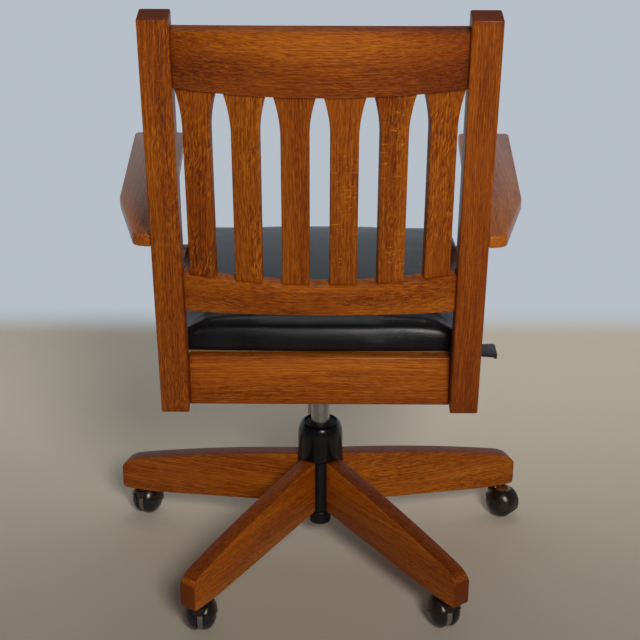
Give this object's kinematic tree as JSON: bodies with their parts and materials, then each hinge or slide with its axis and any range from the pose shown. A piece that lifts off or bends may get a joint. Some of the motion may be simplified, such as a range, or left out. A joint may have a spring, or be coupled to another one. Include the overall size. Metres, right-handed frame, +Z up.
{
  "type": "swivel desk chair",
  "caption": "Swivel desk chair with a bowed slatted wooden back, flat arms, a leather seat, a gas lift, a tilt control and a star base on hooded ball casters.",
  "frame": {"origin": "on the floor under the middle of the chair's plan, 13 mm behind the column's axis", "axes": "+Z up, +Y to the chair's back, +X to the sitter's left, so the sitter faces -Y"},
  "size_m": [0.6391, 0.7139, 0.9011],
  "materials": {
    "stained_oak": "satin lacquer over an orange-brown stain",
    "black_leather": "smooth with a soft sheen",
    "plywood": "raw",
    "black_paint": "satin black",
    "bare_steel": "zinc plated",
    "chrome": "polished",
    "black_plastic": "fine texture",
    "gloss_black": "glossy",
    "bronze_plate": "dark antique bronze, glossy"
  },
  "bodies": {
    "base": {"base_hub": "black_paint", "base_leg_1": "stained_oak", "base_leg_2": "stained_oak", "base_leg_3": "stained_oak", "base_leg_4": "stained_oak", "base_leg_5": "stained_oak", "column_tube": "black_paint", "column_bush": "black_plastic", "bell_cover": "gloss_black", "caster_1_stem": "bare_steel", "caster_2_stem": "bare_steel", "caster_3_stem": "bare_steel", "caster_4_stem": "bare_steel", "caster_5_stem": "bare_steel"},
    "lift_rod": {"piston_rod": "bare_steel"},
    "control": {"gas_cylinder": "chrome", "tilt_housing": "black_paint", "tilt_pin": "bare_steel", "tilt_spring": "bare_steel"},
    "seat": {"left_back_post": "stained_oak", "right_back_post": "stained_oak", "crest_rail": "stained_oak", "lower_back_rail": "stained_oak", "back_slat_1": "stained_oak", "back_slat_2": "stained_oak", "back_slat_3": "stained_oak", "back_slat_4": "stained_oak", "back_slat_5": "stained_oak", "back_slat_6": "stained_oak", "rear_seat_rail": "stained_oak", "front_seat_rail": "stained_oak", "left_seat_rail": "stained_oak", "right_seat_rail": "stained_oak", "left_arm_post": "stained_oak", "right_arm_post": "stained_oak", "left_armrest": "stained_oak", "right_armrest": "stained_oak", "seat_cushion": "black_leather", "seat_board": "plywood", "tilt_plate": "black_paint"},
    "knob": {"tension_knob": "black_plastic"},
    "lever": {"lever_rod": "bare_steel", "lever_paddle": "gloss_black"},
    "valve": {"valve_pin": "bare_steel"},
    "caster_1": {"caster_1_hood": "bronze_plate"},
    "caster_1_wheel_a": {"caster_1_wheel_a": "gloss_black"},
    "caster_1_wheel_b": {"caster_1_wheel_b": "gloss_black"},
    "caster_2": {"caster_2_hood": "bronze_plate"},
    "caster_2_wheel_a": {"caster_2_wheel_a": "gloss_black"},
    "caster_2_wheel_b": {"caster_2_wheel_b": "gloss_black"},
    "caster_3": {"caster_3_hood": "bronze_plate"},
    "caster_3_wheel_a": {"caster_3_wheel_a": "gloss_black"},
    "caster_3_wheel_b": {"caster_3_wheel_b": "gloss_black"},
    "caster_4": {"caster_4_hood": "bronze_plate"},
    "caster_4_wheel_a": {"caster_4_wheel_a": "gloss_black"},
    "caster_4_wheel_b": {"caster_4_wheel_b": "gloss_black"},
    "caster_5": {"caster_5_hood": "bronze_plate"},
    "caster_5_wheel_a": {"caster_5_wheel_a": "gloss_black"},
    "caster_5_wheel_b": {"caster_5_wheel_b": "gloss_black"}
  },
  "joints": [
    {"name": "seat_swivel", "type": "hinge", "parent": "base", "child": "lift_rod", "pos_m": [0, -0.013, 0.078], "axis": [0, 0, 1], "continuous": true},
    {"name": "seat_height", "type": "slide", "parent": "lift_rod", "child": "control", "axis": [0, 0, 1], "range_m": [-0.04, 0.04]},
    {"name": "seat_tilt", "type": "hinge", "parent": "control", "child": "seat", "pos_m": [0, -0.033, 0.375], "axis": [-1, 0, 0], "range_deg": [0, 12], "stiffness_Nm_per_rad": 60, "springref_deg": -22.92, "deforming": ["tilt_spring"]},
    {"name": "height_lever", "type": "hinge", "parent": "control", "child": "lever", "pos_m": [0, 0.005, 0.3405], "axis": [1, 0, 0], "range_deg": [0, 11], "stiffness_Nm_per_rad": 0.4, "springref_deg": -11.46},
    {"name": "valve_press", "type": "slide", "parent": "control", "child": "valve", "axis": [0, 0, 1], "range_m": [-0.0043, 0], "stiffness_N_per_m": 0.01, "springref_m": 3.82},
    {"name": "knob_turn", "type": "hinge", "parent": "seat", "child": "knob", "pos_m": [0, -0.108, 0.2902], "axis": [0, 0, 1], "range_deg": [-360, 360]},
    {"name": "caster_1_swivel", "type": "hinge", "parent": "base", "child": "caster_1", "pos_m": [0.16862, 0.23512, 0.05], "axis": [0, 0, 1], "continuous": true},
    {"name": "caster_1_roll_a", "type": "hinge", "parent": "caster_1", "child": "caster_1_wheel_a", "pos_m": [0.16862, 0.21912, 0.0245], "axis": [-1, 0, 0], "continuous": true},
    {"name": "caster_1_roll_b", "type": "hinge", "parent": "caster_1", "child": "caster_1_wheel_b", "pos_m": [0.16862, 0.21912, 0.0245], "axis": [-1, 0, 0], "continuous": true},
    {"name": "caster_2_swivel", "type": "hinge", "parent": "base", "child": "caster_2", "pos_m": [0.28809, -0.0967, 0.05], "axis": [0, 0, 1], "continuous": true},
    {"name": "caster_2_roll_a", "type": "hinge", "parent": "caster_2", "child": "caster_2_wheel_a", "pos_m": [0.28133, -0.1112, 0.0245], "axis": [-0.9063, 0.4226, 0], "continuous": true},
    {"name": "caster_2_roll_b", "type": "hinge", "parent": "caster_2", "child": "caster_2_wheel_b", "pos_m": [0.28133, -0.1112, 0.0245], "axis": [-0.9063, 0.4226, 0], "continuous": true},
    {"name": "caster_3_swivel", "type": "hinge", "parent": "base", "child": "caster_3", "pos_m": [0.00942, -0.31285, 0.05], "axis": [0, 0, 1], "continuous": true},
    {"name": "caster_3_roll_a", "type": "hinge", "parent": "caster_3", "child": "caster_3_wheel_a", "pos_m": [0.00942, -0.32885, 0.0245], "axis": [-1, 0, 0], "continuous": true},
    {"name": "caster_3_roll_b", "type": "hinge", "parent": "caster_3", "child": "caster_3_wheel_b", "pos_m": [0.00942, -0.32885, 0.0245], "axis": [-1, 0, 0], "continuous": true},
    {"name": "caster_4_swivel", "type": "hinge", "parent": "base", "child": "caster_4", "pos_m": [-0.28226, -0.11462, 0.05], "axis": [0, 0, 1], "continuous": true},
    {"name": "caster_4_roll_a", "type": "hinge", "parent": "caster_4", "child": "caster_4_wheel_a", "pos_m": [-0.29452, -0.10434, 0.0245], "axis": [0.6428, 0.766, 0], "continuous": true},
    {"name": "caster_4_roll_b", "type": "hinge", "parent": "caster_4", "child": "caster_4_wheel_b", "pos_m": [-0.29452, -0.10434, 0.0245], "axis": [0.6428, 0.766, 0], "continuous": true},
    {"name": "caster_5_swivel", "type": "hinge", "parent": "base", "child": "caster_5", "pos_m": [-0.18387, 0.22405, 0.05], "axis": [0, 0, 1], "continuous": true},
    {"name": "caster_5_roll_a", "type": "hinge", "parent": "caster_5", "child": "caster_5_wheel_a", "pos_m": [-0.17866, 0.20892, 0.0245], "axis": [-0.9455, -0.3256, 0], "continuous": true},
    {"name": "caster_5_roll_b", "type": "hinge", "parent": "caster_5", "child": "caster_5_wheel_b", "pos_m": [-0.17866, 0.20892, 0.0245], "axis": [-0.9455, -0.3256, 0], "continuous": true}
  ],
  "couplings": [
    {"joint": "valve_press", "follows": "height_lever", "m_per_rad": -0.0215}
  ]
}
